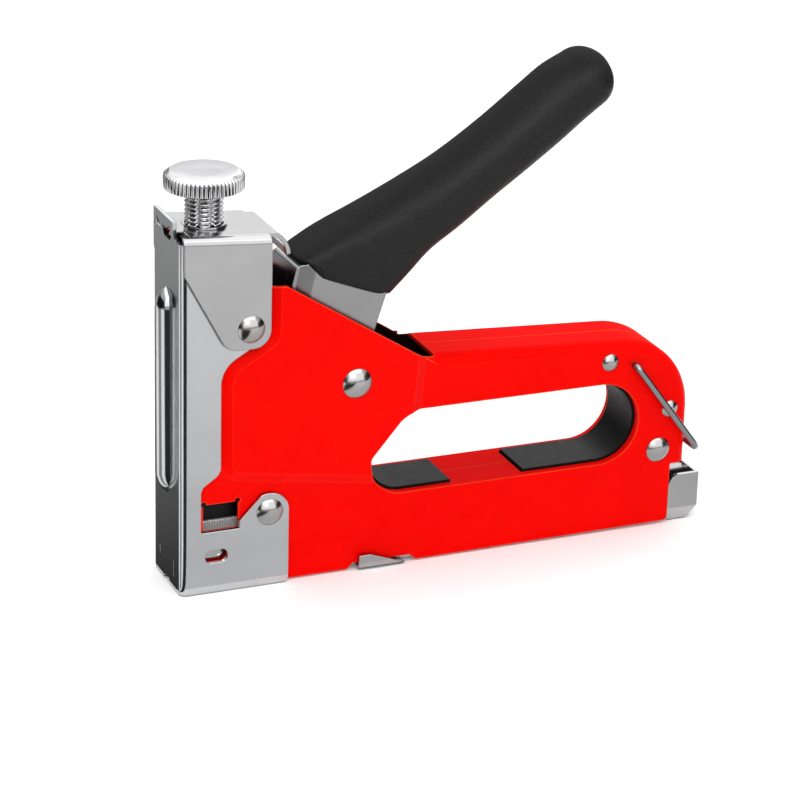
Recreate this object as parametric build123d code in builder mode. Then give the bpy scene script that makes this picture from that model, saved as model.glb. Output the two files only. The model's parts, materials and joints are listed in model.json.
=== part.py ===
"""Hand staple gun: two stamped shells, a chromed nose and cap, a squeeze lever,
a spring-driven plunger, a pull-out magazine and a wire bail that locks the lever.

Side view: X runs from the nose (front) to the tail, Z is up, Y = 0 is the seam.
The near side is -Y. Side profiles are drawn on side(y), whose own x is the distance
behind the nose's front face and whose own y is the height above the base.
"""

import os
from math import atan2, cos, radians, sin, tan

from build123d import *

os.makedirs("parts", exist_ok=True)

# ---------------------------------------------------------------- driving sizes (mm)
TAIL = 164.6          # nose face to the back of the magazine latch
RIB_OUT = 3.3         # how far the nose's embossed rib stands forward
NOSE_X = -(TAIL - RIB_OUT) / 2

SHEET = 1.2           # thickness of all the stamped sheet
SHELL_Y = 10.8        # outer face of the red shells
SHELL_IN = SHELL_Y - SHEET
BULGE = 1.5           # how far the mechanism housing stands out of a shell
COVER_Y = SHELL_Y + SHEET
CAP_Y = COVER_Y + SHEET

COVER_TOP = 104.0
TAB_TOP, TAB_HALF = 109.9, 8.0
CAP_TOP = 106.6       # at the cap's front edge
CAP_SLOPE = 4.3       # degrees, down to the rear

PIVOT = (52.2, 58.2)  # lever pivot
CAP_PIN = (20.1, 78.5)
NOSE_PIN = (26.5, 22.5)
REAR_UPPER = (132.2, 54.0)
REAR_MIDDLE = (152.6, 37.0)
REAR_LOWER = (149.5, 24.3)
BAIL_PIN = (140.0, 52.4)
SCREW_X = 10.8        # axis of the power screw, main spring and plunger
SCREW_R = 5.4

LEVER_Y = 9.0         # outer face of the lever's cheeks
LIFT_ARM = 36.0       # pivot to lift pin
LIFT_DROP = 20.0      # degrees that the lift arm hangs below level at rest

WIRE_R = 1.0          # bail wire

HOLE_TOP = 47.4       # hand hole
HOLE_BOTTOM = 22.2
HOLE_REAR = 142.4


def side(y=0.0):
    """Side-view plane at depth y on the near side; extruding moves away from the seam."""
    return Plane((NOSE_X, -y, 0), x_dir=(1, 0, 0), z_dir=(0, -1, 0))


def flat(z):
    """Plan-view plane at height z."""
    return Plane((NOSE_X, 0, z))


def across(x):
    """Plane across the tool at distance x behind the nose; its own x is +Y, its own y is +Z."""
    return Plane((NOSE_X + x, 0, 0), x_dir=(0, 1, 0), z_dir=(1, 0, 0))


# ---------------------------------------------------------------- shared side outlines
def shell_outline():
    """Closed outline of a shell: nose, lever opening, handle, tail and lower bar."""
    FilletPolyline(
        (1.4, 0.6), (1.4, 101.5), (22.0, 101.5), (23.5, 89.4), (30.8, 89.4),
        (72.4, 63.4), (158.9, 58.6), (158.9, 19.3), (153.8, 19.3),
        (153.8, 1.1), (72.2, 0.6), (70.3, 2.3), (52.5, 2.3), (50.8, 0.6),
        radius=[0, 0, 0, 0, 4, 0, 23, 0, 0, 1.5, 0.6, 0.6, 0.6, 0.6],
        close=True,
    )


def hand_hole(grow=0.0):
    """Closed outline of the hand hole, grown outwards by grow."""
    r = (HOLE_TOP - HOLE_BOTTOM) / 2 + grow
    top, bottom = HOLE_TOP + grow, HOLE_BOTTOM - grow
    rear = HOLE_REAR - (HOLE_TOP - HOLE_BOTTOM) / 2
    front = 57.0 - grow
    run = FilletPolyline(
        (rear, bottom), (front, bottom), (front, 34.4), (68.0 - grow * 0.7, top), (rear, top),
        radius=[10.5 + grow, 2.5 + grow, 9.0 + grow],
    )
    ThreePointArc(run @ 1, (rear + r, (top + bottom) / 2), run @ 0)


def bulge_outline():
    """Foot of the raised housing. It runs past the lever opening, where it is trimmed."""
    FilletPolyline(
        (12.4, 33.5), (58.0, 26.5), (71.5, 40.0), (74.0, 66.0), (36.0, 96.0),
        (26.4, 96.0), (26.4, 75.2), (12.4, 66.9),
        radius=[6, 0, 6, 4, 0, 0, 2, 9],
        close=True,
    )


def bulge_block(depth):
    """Raised housing as a flat-topped mound standing on the plane at that depth."""
    with BuildPart(mode=Mode.PRIVATE) as mound:
        with BuildSketch(side(depth)):
            with BuildLine():
                bulge_outline()
            make_face()
        extrude(amount=BULGE, taper=62)
        with BuildSketch(side(depth)):
            with BuildLine():
                Polyline(
                    (20, 89.4), (30.8, 89.4), (72.4, 63.4), (90, 62.4), (90, 110), (20, 110), close=True,
                )
            make_face()
        extrude(amount=BULGE, mode=Mode.SUBTRACT)
    return mound.part


# ---------------------------------------------------------------- red shells
def rivet_holes():
    """Through holes of a shell, drawn on its side plane."""
    for centre, radius in (
        (PIVOT, 3.0), (CAP_PIN, 2.0), (NOSE_PIN, 1.8),
        (REAR_UPPER, 1.5), (REAR_MIDDLE, 1.5), (REAR_LOWER, 2.0), (BAIL_PIN, WIRE_R + 0.05),
    ):
        with Locations(centre):
            Circle(radius)


with BuildPart() as left_body_shell:
    with BuildSketch(side()):
        with BuildLine():
            shell_outline()
        make_face()
    extrude(amount=SHELL_Y)
    # rounded shoulder along the handle's top and round the tail
    shoulder = (
        left_body_shell.edges()
        .filter_by_position(Axis.Y, -SHELL_Y - 0.01, -SHELL_Y + 0.01)
        .filter_by(lambda e: e.center().X > NOSE_X + 74 and e.center().Z > 19.6)
    )
    fillet(shoulder, radius=3.0)
    add(bulge_block(SHELL_Y))
    # hollow: open to the seam, the nose, the lever, the magazine and the tail below the step
    with BuildSketch(side(-1)):
        with BuildLine():
            FilletPolyline(
                (0, -1), (0, 110), (60, 110), (76.5, 68.0), (76.5, 61.95),
                (157.7, 57.4), (157.7, -1),
                radius=[0, 0, 0, 0, 0, 21.8, 0],
                close=True,
            )
        make_face()
    extrude(amount=SHELL_IN + 1, mode=Mode.SUBTRACT)
    add(bulge_block(SHELL_IN - 0.001), mode=Mode.SUBTRACT)
    # rolled edge of the hand hole, and the full-width flange on the lower bar
    with BuildSketch(side(8.3)):
        with BuildLine():
            hand_hole(SHEET)
        make_face()
    extrude(amount=SHELL_IN - 8.3)
    with BuildSketch(side()):
        with BuildLine():
            Polyline(
                (84, HOLE_BOTTOM - SHEET), (106, HOLE_BOTTOM - SHEET), (106, 24), (84, 24), close=True,
            )
        make_face()
    extrude(amount=SHELL_IN)
    with BuildSketch(side(-1)):
        with BuildLine():
            hand_hole()
        make_face()
    extrude(amount=SHELL_Y + BULGE + 2, mode=Mode.SUBTRACT)
    # window on the staples, with relief notches at its upper corners, and the nose slot
    with BuildSketch(side(-1)):
        with Locations((12.25, 22.6)):
            Rectangle(10.5, 8.2)
        with Locations((7.2, 26.9), (17.3, 26.9)):
            Circle(0.8)
        with Locations((10.6, 11.3)):
            SlotOverall(7.6, 4.6)
        rivet_holes()
    extrude(amount=SHELL_Y + BULGE + 2, mode=Mode.SUBTRACT)
left_body_shell.part.label = "left_body_shell"

with BuildPart() as right_body_shell:
    add(left_body_shell.part)
    mirror(about=Plane.XZ, mode=Mode.REPLACE)
    # upturned guide tab beside the lever
    with BuildSketch(side(-SHELL_IN - BULGE)):
        with BuildLine():
            Polyline((35, 84.5), (35.6, 91.4), (37.0, 92.4), (41.0, 90.0), (42, 80), close=True)
        make_face()
    extrude(amount=-SHEET)
right_body_shell.part.label = "right_body_shell"

# ---------------------------------------------------------------- nose cover
RIB_R = 3.5
RIB_LOW, RIB_HIGH, RIB_END = 27.5, 89.0, 6.5


def rib_core(radius, foot, trim):
    """Half-round rib with pointed-arch ends, standing along the nose's front face."""
    low, high = RIB_LOW + trim, RIB_HIGH - trim
    axis_x = RIB_R - RIB_OUT
    with BuildPart(mode=Mode.PRIVATE) as core:
        with BuildSketch(Plane((NOSE_X + axis_x, 0, 0), x_dir=(-1, 0, 0), z_dir=(0, 1, 0))):
            with BuildLine():
                TangentArc((radius, low + RIB_END), (foot, low), tangent=(0, -1))
                Polyline((foot, low), (0, low), (0, high), (foot, high))
                TangentArc((radius, high - RIB_END), (foot, high), tangent=(0, 1))
                Line((radius, low + RIB_END), (radius, high - RIB_END))
            make_face()
        revolve(axis=Axis((NOSE_X + axis_x, 0, 0), (0, 0, 1)))
    return core.part


with BuildPart() as nose_cover:
    with BuildSketch(flat(0)):
        with Locations((17, 0)):
            Rectangle(34, 2 * COVER_Y)
    extrude(amount=COVER_TOP)
    front_bends = (
        nose_cover.edges().filter_by(Axis.Z).sort_by(Axis.X)[:2]
    )
    fillet(front_bends, radius=2.0)
    # front tab: rises above the front wall and leans forward
    with BuildSketch(Plane((NOSE_X, 0, 0), x_dir=(1, 0, 0), z_dir=(0, -1, 0))):
        with BuildLine():
            Polyline(
                (0, 101.0), (0, 104.4), (-1.0, 105.7), (-1.0, TAB_TOP), (0.2, TAB_TOP), (0.2, 106.2),
                (SHEET, 104.0), (SHEET, 101.0), close=True,
            )
        make_face()
    extrude(amount=TAB_HALF, both=True)
    add(rib_core(RIB_R, RIB_R - RIB_OUT, 0.0))
    # hollow of the wrapped sheet
    with BuildSketch(flat(-1)):
        with Locations((SHEET + 25, 0)):
            Rectangle(50, 2 * SHELL_Y)
    extrude(amount=COVER_TOP + 2, mode=Mode.SUBTRACT)
    add(rib_core(RIB_R - 0.9, 0.65, 1.0), mode=Mode.SUBTRACT)
    # rear contour of both side plates
    with BuildSketch(side()):
        with BuildLine():
            FilletPolyline(
                (-5, 0), (32.2, 0), (32.2, 28.2), (24.4, 28.2), (17.5, 21.1), (17.4, 18.8),
                (6.0, 18.8), (6.0, 32.3), (11.8, 36.2), (11.8, 67.3), (24.6, 74.8), (24.6, 103.3),
                (6, 104.6), (1.3, 104.6), (1.3, 120), (-5, 120),
                radius=[0, 1.5, 5.6, 3, 0.4, 0.5, 0.5, 3, 3.5, 8.5, 3, 0, 0, 0, 0, 0],
                close=True,
            )
        make_face()
    extrude(amount=COVER_Y + 1, both=True, mode=Mode.INTERSECT)
    # oval slot, rivet holes, lower rear corners
    with BuildSketch(side()):
        with Locations((10.6, 11.3)):
            SlotOverall(6.8, 4.2)
        with Locations(CAP_PIN):
            Circle(2.0)
        with Locations(NOSE_PIN):
            Circle(1.8)
    extrude(amount=COVER_Y + 1, both=True, mode=Mode.SUBTRACT)
    # front wall: window under the tab, peep hole in the rib, foot notch and two short lances
    with BuildSketch(Plane((NOSE_X - 6, 0, 0), x_dir=(0, 1, 0), z_dir=(1, 0, 0))):
        with BuildLine():
            Polyline(
                (-2.8, 103.0), (-6.0, 107.0), (-5.6, 108.0), (-3.0, 106.7), (3.0, 106.7), (5.6, 108.0),
                (6.0, 107.0), (2.8, 103.0), close=True,
            )
        make_face()
        with Locations((0, 69.5)):
            SlotOverall(2.6, 1.1, rotation=90)
        with Locations((0, 0)):
            Trapezoid(8.0, 3.6, 60)
        with Locations((-6, 6.5), (6, 6.5)):
            SlotOverall(5.0, 0.7, rotation=90)
    extrude(amount=6 + SHEET + 0.5, mode=Mode.SUBTRACT)
nose_cover.part.label = "nose_cover"

# ---------------------------------------------------------------- top cap
SLOPE = tan(radians(CAP_SLOPE))


def cap_height(x, below=0.0):
    """Height of the cap's top plate at x, or of a line that far below it."""
    return CAP_TOP - SLOPE * (x - 0.7) - below


with BuildPart() as top_cap:
    with BuildSketch(side(-CAP_Y)):
        with BuildLine():
            Polyline((0.7, 70), (0.7, cap_height(0.7)), (26, cap_height(26)), (26, 70), close=True)
        make_face()
    extrude(amount=2 * CAP_Y)
    top_folds = top_cap.edges().filter_by(
        lambda e: e.center().Z > 104 and abs(e.center().Y) > CAP_Y - 0.1
    )
    fillet(top_folds, radius=2.4)
    with BuildSketch(side(-COVER_Y)):
        with BuildLine():
            Polyline(
                (-1, 60), (-1, cap_height(-1, SHEET)), (30, cap_height(30, SHEET)), (30, 60), close=True,
            )
        make_face()
    extrude(amount=2 * COVER_Y, mode=Mode.SUBTRACT)
    # ears: slanted front edge, rounded foot round the rivet
    with BuildSketch(side()):
        with BuildLine():
            FilletPolyline(
                (-2, 60), (-2, 101.5), (0.7, 99.0), (0.7, 95.8), (13.2, 72.7), (25.9, 72.7), (25.9, 90),
                (40, 90), (40, 60),
                radius=[0, 0, 0, 5, 5.5, 5.2, 0, 0, 0],
                close=True,
            )
        make_face()
    extrude(amount=CAP_Y + 1, both=True, mode=Mode.SUBTRACT)
    # rear tongue, curled down
    with BuildSketch(side(-9.6)):
        with BuildLine():
            outer_a = Line((25.5, cap_height(25.5)), (28.6, cap_height(28.6)))
            outer_b = ThreePointArc(outer_a @ 1, (31.0, 102.4), (32.6, 98.0))
            end = Line(outer_b @ 1, (31.4, 97.7))
            inner_b = ThreePointArc(end @ 1, (30.0, 101.7), (28.5, cap_height(28.5, SHEET)))
            inner_a = Line(inner_b @ 1, (25.5, cap_height(25.5, SHEET)))
            Line(inner_a @ 1, outer_a @ 0)
        make_face()
    extrude(amount=19.2)
    # relief notches beside the front tab
    with BuildSketch(flat(CAP_TOP - 4)):
        with Locations((0.7, -8.9), (0.7, 8.9)):
            Rectangle(4.0, 5.0)
    extrude(amount=6, mode=Mode.SUBTRACT)
    # holes for the screw collar and the rivet
    with BuildSketch(flat(CAP_TOP - 6)):
        with Locations((SCREW_X, 0)):
            Circle(6.2)
    extrude(amount=10, mode=Mode.SUBTRACT)
    with BuildSketch(side()):
        with Locations(CAP_PIN):
            Circle(2.0)
    extrude(amount=CAP_Y + 1, both=True, mode=Mode.SUBTRACT)
top_cap.part.label = "top_cap"

# ---------------------------------------------------------------- power screw and collar
COLLAR_LOW, COLLAR_HIGH = 100.4, 106.4
KNOB_LOW, KNOB_RIM, KNOB_TOP = 116.2, 120.3, 121.3
KNOB_R = 11.2
TEETH = 56
SCREW_TIP = 95.0

with BuildPart() as screw_collar:
    with BuildSketch(flat(COLLAR_LOW)):
        with Locations((SCREW_X, 0)):
            Circle(8.0)
    extrude(amount=cap_height(SCREW_X + 8, SHEET) - COLLAR_LOW)
    with BuildSketch(flat(COLLAR_LOW)):
        with Locations((SCREW_X, 0)):
            Circle(6.2)
    extrude(amount=COLLAR_HIGH - COLLAR_LOW)
    with BuildSketch(flat(COLLAR_LOW)):
        with Locations((SCREW_X, 0)):
            Circle(SCREW_R + 0.05)
    extrude(amount=COLLAR_HIGH - COLLAR_LOW, mode=Mode.SUBTRACT)
screw_collar.part.label = "screw_collar"

with BuildPart() as power_screw:
    with BuildSketch(flat(SCREW_TIP)):
        with Locations((SCREW_X, 0)):
            Circle(SCREW_R)
    extrude(amount=KNOB_LOW - SCREW_TIP)
    with BuildSketch(flat(KNOB_LOW)):
        with Locations((SCREW_X, 0)):
            Circle(KNOB_R)
        with Locations((SCREW_X, 0)):
            with PolarLocations(KNOB_R, TEETH):
                Circle(0.34, mode=Mode.SUBTRACT)
    extrude(amount=KNOB_RIM - KNOB_LOW)
    with BuildSketch(flat(KNOB_RIM)):
        with Locations((SCREW_X, 0)):
            Circle(KNOB_R - 0.35)
    extrude(amount=KNOB_TOP - KNOB_RIM, taper=44)
power_screw.part.label = "power_screw"

SEAT_LOW = 92.0
with BuildPart() as spring_seat:
    with BuildSketch(flat(SEAT_LOW)):
        with Locations((SCREW_X, 0)):
            Circle(6.8)
    extrude(amount=SCREW_TIP - SEAT_LOW)
    with BuildSketch(flat(SEAT_LOW - 3)):
        with Locations((SCREW_X, 0)):
            Circle(4.0)
    extrude(amount=3)
spring_seat.part.label = "spring_seat"

# ---------------------------------------------------------------- plunger, blade and spring
PLUNGER_LOW, PLUNGER_TOP = 26.0, 58.0
LIFT_PIN = (
    PIVOT[0] - LIFT_ARM * cos(radians(LIFT_DROP)),
    PIVOT[1] - LIFT_ARM * sin(radians(LIFT_DROP)),
)
LIFT_PIN_R = 2.0
BLADE_FRONT, BLADE_BACK = 2.0, 2.9

with BuildPart() as plunger:
    with BuildSketch(side()):
        with BuildLine():
            FilletPolyline(
                (3.2, PLUNGER_LOW), (3.2, PLUNGER_TOP), (16.4, PLUNGER_TOP), (17.8, 55.9), (22.4, 55.9),
                (22.4, 38.0), (17.4, 38.0), (17.4, PLUNGER_LOW),
                radius=[0, 0, 0, 0, 1.5, 1.5, 1, 1], close=True,
            )
        make_face()
        # tall window: the lift pin swings through it while the plunger rises
        with Locations((LIFT_PIN[0] - 1.1, LIFT_PIN[1] + 2.9)):
            Rectangle(7.2, 11.4, mode=Mode.SUBTRACT)
    extrude(amount=5.0, both=True)
    with BuildSketch(flat(PLUNGER_TOP)):
        with Locations((SCREW_X, 0)):
            Circle(4.0)
    extrude(amount=3.5)
plunger.part.label = "plunger"

with BuildPart() as driver_blade:
    with BuildSketch(Plane((NOSE_X + BLADE_FRONT, 0, 0), x_dir=(0, 1, 0), z_dir=(1, 0, 0))):
        with Locations((0, (1.0 + 54.0) / 2)):
            Rectangle(11.4, 53.0)
    extrude(amount=BLADE_BACK - BLADE_FRONT)
    # rivet bosses that hold the blade on the plunger
    with BuildSketch(Plane((NOSE_X + BLADE_BACK, 0, 0), x_dir=(0, 1, 0), z_dir=(1, 0, 0))):
        with Locations((0, 32), (0, 48)):
            Circle(2.0)
    extrude(amount=0.3)
driver_blade.part.label = "driver_blade"

with BuildPart() as main_spring:
    with BuildSketch(flat(PLUNGER_TOP)):
        with Locations((SCREW_X, 0)):
            Circle(6.6)
            Circle(4.4, mode=Mode.SUBTRACT)
    extrude(amount=SEAT_LOW - PLUNGER_TOP)
main_spring.part.label = "main_spring"

GUIDE_FRONT, GUIDE_Y = 1.25, 9.5
with BuildPart() as blade_guide:
    # thin hardened lining in front of the blade, with a wing along each shell
    with BuildSketch(flat(29.0)):
        with Locations((GUIDE_FRONT + 4.8, 0)):
            Rectangle(9.6, 2 * GUIDE_Y)
        with Locations((GUIDE_FRONT + 0.6 + 4.8, 0)):
            Rectangle(9.6, 2 * GUIDE_Y - 1.2, mode=Mode.SUBTRACT)
    extrude(amount=42.0)
    with BuildSketch(flat(3.0)):
        with Locations((GUIDE_FRONT + 0.3, 0)):
            Rectangle(0.6, 2 * GUIDE_Y)
    extrude(amount=27.0)
blade_guide.part.label = "blade_guide"

GUARD_LOW, GUARD_HIGH, GUARD_Y, GUARD_SHEET = 20.6, 30.0, 6.8, 0.6
with BuildPart() as feed_guard:
    # blued U-shaped guard above the staples, seen through the windows, held by a flange
    # that spans the shells behind it
    with BuildSketch(flat(GUARD_LOW)):
        with Locations((13.0, 0)):
            Rectangle(14.0, 2 * GUARD_Y)
        with Locations((13.0 - GUARD_SHEET, 0)):
            Rectangle(14.0, 2 * (GUARD_Y - GUARD_SHEET), mode=Mode.SUBTRACT)
        with Locations((20.0 - GUARD_SHEET / 2, 0)):
            Rectangle(GUARD_SHEET, 2 * SHELL_IN)
    extrude(amount=GUARD_HIGH - GUARD_LOW)
feed_guard.part.label = "feed_guard"

# ---------------------------------------------------------------- lever, grip and lift pin
WEB_LOW, WEB_TOP = (30.5, 76.0), (34.6, 93.3)   # front face of the lever's web
WEB_LEAN = atan2(WEB_TOP[0] - WEB_LOW[0], WEB_TOP[1] - WEB_LOW[1])
FLARE = 5.0           # length of the cheeks' drawn-in front edge
DRAWN_IN = 1.0


def lever_outline():
    """Closed outline of the squeeze lever, from the lift arm to the end inside the grip."""
    FilletPolyline(
        (14.0, 41.5), (13.9, 48.0), (19.0, 52.5), (21.5, 62.0), WEB_LOW, WEB_TOP, (41.0, 94.0),
        (57.2, 99.4), (81.2, 113.2), (117.0, 136.6), (121.6, 131.2), (82.6, 104.6), (62.0, 84.0),
        (58.0, 71.5), (59.2, 51.4), (44.5, 51.4), (22.5, 41.5),
        radius=[3, 3, 4, 8, 0, 1.2, 5, 0, 0, 3, 3, 0, 3, 6, 6, 8, 4],
        close=True,
    )


with BuildPart() as lever_arm:
    with BuildSketch(side()):
        with BuildLine():
            lever_outline()
        make_face()
    extrude(amount=LEVER_Y, both=True)
    # hollow channel: open below and in front of the lift arm, closed by its top web
    with BuildSketch(side()):
        with BuildLine():
            FilletPolyline(
                (0, 20), (0, 80), (29.4, 75.2), (31.6, 75.2), (35.6, 92.1), (41.3, 92.8), (57.7, 98.3),
                (81.8, 112.2), (116.0, 134.5), (140, 134.5), (140, 20),
                radius=[0, 0, 0, 0, 0.4, 3.8, 0, 0, 0, 0, 0],
                close=True,
            )
        make_face()
    extrude(amount=LEVER_Y - SHEET - DRAWN_IN, both=True, mode=Mode.SUBTRACT)
    with BuildSketch(side()):
        with BuildLine():
            Polyline(
                (0, 20), (0, 70), (38.0, 70.0), (42.9, 92.2), (47.0, 94.7), (57.7, 98.3),
                (81.8, 112.2), (116.0, 134.5), (140, 134.5), (140, 20),
                close=True,
            )
        make_face()
    extrude(amount=LEVER_Y - SHEET, both=True, mode=Mode.SUBTRACT)
    # the cheeks are drawn in behind the web's edges, so the web stands proud of them
    for sign in (-1, 1):
        with BuildSketch(Plane(
            (NOSE_X + WEB_LOW[0], 0, WEB_LOW[1]), x_dir=(cos(WEB_LEAN), 0, -sin(WEB_LEAN)),
            z_dir=(sin(WEB_LEAN), 0, cos(WEB_LEAN)),
        )):
            with BuildLine():
                Polyline(
                    (SHEET, sign * (LEVER_Y + 1)), (SHEET, sign * (LEVER_Y - DRAWN_IN)),
                    (SHEET + FLARE, sign * LEVER_Y), (SHEET + FLARE, sign * (LEVER_Y + 1)), close=True,
                )
            make_face()
        extrude(amount=24.0, mode=Mode.SUBTRACT)
    with BuildSketch(side()):
        with Locations(PIVOT):
            Circle(3.05)
        with Locations(LIFT_PIN):
            Circle(LIFT_PIN_R)
    extrude(amount=LEVER_Y + 1, both=True, mode=Mode.SUBTRACT)
lever_arm.part.label = "lever_arm"

with BuildPart() as lift_pin:
    with BuildSketch(side(-LEVER_Y)):
        with Locations(LIFT_PIN):
            Circle(LIFT_PIN_R)
    extrude(amount=2 * LEVER_Y)
lift_pin.part.label = "lift_pin"

GRIP_Y = 10.4
with BuildPart() as grip_sleeve:
    with BuildSketch(side(-GRIP_Y)):
        with BuildLine():
            top = Spline((36.6, 95.2), (53.8, 105.0), (83.6, 120.6), (107.5, 138.0), (116.5, 144.5))
            tip = Spline(
                top @ 1, (123.4, 146.2), (130.4, 143.4), (132.4, 137.0), (127.9, 131.2),
                tangents=(top % 1, (-0.72, -0.69)),
            )
            under = Spline(
                tip @ 1, (112.7, 119.1), (97.4, 108.1), (85.4, 99.2), (76.5, 93.3), (63.6, 81.1),
                tangents=(tip % 1, (-0.64, -0.77)),
            )
            FilletPolyline(under @ 1, (37.7, 90.7), top @ 0, radius=[1.2])
        make_face()
    extrude(amount=2 * GRIP_Y)
    grip_rims = grip_sleeve.edges().filter_by(
        lambda e: abs(e.center().Y) > GRIP_Y - 0.1 and e.length > 20
    )
    fillet(grip_rims, radius=3.0)
    # socket for the lever channel
    with BuildSketch(side(-LEVER_Y)):
        with BuildLine():
            lever_outline()
        make_face()
    extrude(amount=2 * LEVER_Y, mode=Mode.SUBTRACT)
grip_sleeve.part.label = "grip_sleeve"


# ---------------------------------------------------------------- rivets
def rivet(centre, shank, head, rise, seat):
    """Rivet across the tool: a shank and two domed heads seated at depth seat."""
    x, z = centre
    sphere = (head**2 + rise**2) / (2 * rise)
    with BuildPart(mode=Mode.PRIVATE) as body:
        with BuildSketch(Plane((NOSE_X + x, 0, z), x_dir=(1, 0, 0), z_dir=(0, 0, 1))):
            with BuildLine():
                Line((0, 0), (0, -seat - rise))
                dome = ThreePointArc(
                    (0, -seat - rise),
                    (head * 0.6, -seat - rise + sphere - (sphere**2 - (head * 0.6) ** 2) ** 0.5),
                    (head, -seat),
                )
                Polyline(dome @ 1, (shank, -seat), (shank, 0), (0, 0))
            make_face()
        revolve(axis=Axis((NOSE_X + x, 0, z), (0, 1, 0)))
        mirror(about=Plane.XZ)
    return body.part


with BuildPart() as lever_rivet:
    add(rivet(PIVOT, 3.0, 4.5, 1.9, SHELL_Y + BULGE))
lever_rivet.part.label = "lever_rivet"

with BuildPart() as cap_rivet:
    add(rivet(CAP_PIN, 2.0, 4.0, 1.7, CAP_Y))
cap_rivet.part.label = "cap_rivet"

with BuildPart() as nose_rivet:
    add(rivet(NOSE_PIN, 1.8, 4.0, 1.7, COVER_Y))
nose_rivet.part.label = "nose_rivet"

with BuildPart() as rear_upper_rivet:
    add(rivet(REAR_UPPER, 1.5, 2.7, 1.3, SHELL_Y))
rear_upper_rivet.part.label = "rear_upper_rivet"

with BuildPart() as rear_middle_rivet:
    add(rivet(REAR_MIDDLE, 1.5, 2.65, 1.3, SHELL_Y))
rear_middle_rivet.part.label = "rear_middle_rivet"

with BuildPart() as rear_lower_rivet:
    add(rivet(REAR_LOWER, 2.0, 3.9, 1.6, SHELL_Y))
rear_lower_rivet.part.label = "rear_lower_rivet"


# ---------------------------------------------------------------- spacers on the rivets
def tube(centre, inner, outer, half):
    """Spacer tube across the tool, between the shells."""
    with BuildSketch(side(-half)) as ring:
        with Locations(centre):
            Circle(outer)
            Circle(inner, mode=Mode.SUBTRACT)
    extrude(ring.sketch, amount=2 * half)


with BuildPart() as rear_spacers:
    for centre, inner in ((REAR_UPPER, 1.5), (REAR_MIDDLE, 1.5), (REAR_LOWER, 2.0)):
        tube(centre, inner, inner + 1.2, SHELL_IN)
rear_spacers.part.label = "rear_spacers"

with BuildPart() as pivot_spacer:
    tube(PIVOT, 3.0, 3.9, LEVER_Y - SHEET - 0.1)
pivot_spacer.part.label = "pivot_spacer"

with BuildPart() as lever_spring:
    with BuildSketch(side(-6.0)):
        with Locations(PIVOT):
            Circle(6.2)
            Circle(4.6, mode=Mode.SUBTRACT)
    extrude(amount=12.0)
lever_spring.part.label = "lever_spring"

# ---------------------------------------------------------------- hand hole liners
LIP = 0.8             # how far a liner stands into the hand hole
LINER_Y = 8.2


def liner(x0, x1, z0, z1):
    """Strip of the ring round the hand hole that lies inside one side-view box."""
    with BuildSketch(side(-LINER_Y)) as strip:
        with BuildLine():
            hand_hole(1.6)
        make_face()
        with BuildLine():
            hand_hole(-LIP)
        make_face(mode=Mode.SUBTRACT)
        with Locations(((x0 + x1) / 2, (z0 + z1) / 2)):
            Rectangle(x1 - x0, z1 - z0, mode=Mode.INTERSECT)
    extrude(strip.sketch, amount=2 * LINER_Y)


with BuildPart() as front_liner:
    liner(50, 83.4, 15, 36)
front_liner.part.label = "front_liner"

with BuildPart() as rear_liner:
    liner(106.6, 150, 15, 40)
    liner(71.0, 150, 39.9, 55)
rear_liner.part.label = "rear_liner"

# ---------------------------------------------------------------- magazine
RAIL_TOP, RAIL_Y = 19.2, 4.7
CROWN_TOP, LEG_LOW = 19.9, 7.0
THROAT = 3.4          # the magazine starts this far behind the nose face
STRIP_LENGTH = 50.0
PUSHER_FRONT = THROAT + STRIP_LENGTH + 0.05
PUSHER_LENGTH = 16.0
SPRING_END = 150.0
ROD_Z, ROD_R = 12.5, 1.5


def channel_section():
    """Cross-section of the magazine channel, open at the top."""
    with Locations((0, 8.0)):
        Rectangle(18.8, 14.2)
    with Locations((0, 9.0)):
        Rectangle(16.8, 14.2, mode=Mode.SUBTRACT)


with BuildPart() as magazine_channel:
    with BuildSketch(across(THROAT)):
        channel_section()
    extrude(amount=148.0)
    # curled ears that hook round the lower edge of the shells
    for sign in (-1, 1):
        with BuildSketch(across(54.0)):
            with BuildLine():
                Polyline(
                    (sign * 9.3, 0.9), (sign * 11.0, 0.05), (sign * 12.1, 1.0), (sign * 12.4, 4.8),
                    (sign * 11.5, 4.8), (sign * 11.2, 1.6), (sign * 10.7, 1.1), (sign * 9.3, 1.9),
                    close=True,
                )
            make_face()
        extrude(amount=14.5)
    with BuildSketch(side()):
        with BuildLine():
            Polyline((54.4, 6), (68.6, 0.6), (68.6, -1), (75, -1), (75, 6), close=True)
        make_face()
    extrude(amount=15, both=True, mode=Mode.SUBTRACT)
    with BuildSketch(across(60.0)):
        channel_section()
    extrude(amount=20.0)
magazine_channel.part.label = "magazine_channel"

with BuildPart() as staple_rail:
    with BuildSketch(across(THROAT)):
        with Locations((0, (RAIL_TOP + 6.0) / 2)):
            Rectangle(2 * RAIL_Y, RAIL_TOP - 6.0)
        with Locations((0, (RAIL_TOP - 0.8 + 5.0) / 2)):
            Rectangle(2 * (RAIL_Y - 0.8), RAIL_TOP - 0.8 - 5.0, mode=Mode.SUBTRACT)
    extrude(amount=144.0)
staple_rail.part.label = "staple_rail"

BRACKET_X = 146.0
with BuildPart() as rail_bracket:
    with BuildSketch(across(BRACKET_X)):
        with Locations((0, 10.4)):
            Rectangle(16.6, 17.0)
        with Locations((0, 19.7)):
            Rectangle(19.2, 1.8)
        with Locations((0, RAIL_TOP / 2)):
            Rectangle(2 * RAIL_Y, RAIL_TOP, mode=Mode.SUBTRACT)
    extrude(amount=1.2)
rail_bracket.part.label = "rail_bracket"

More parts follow.
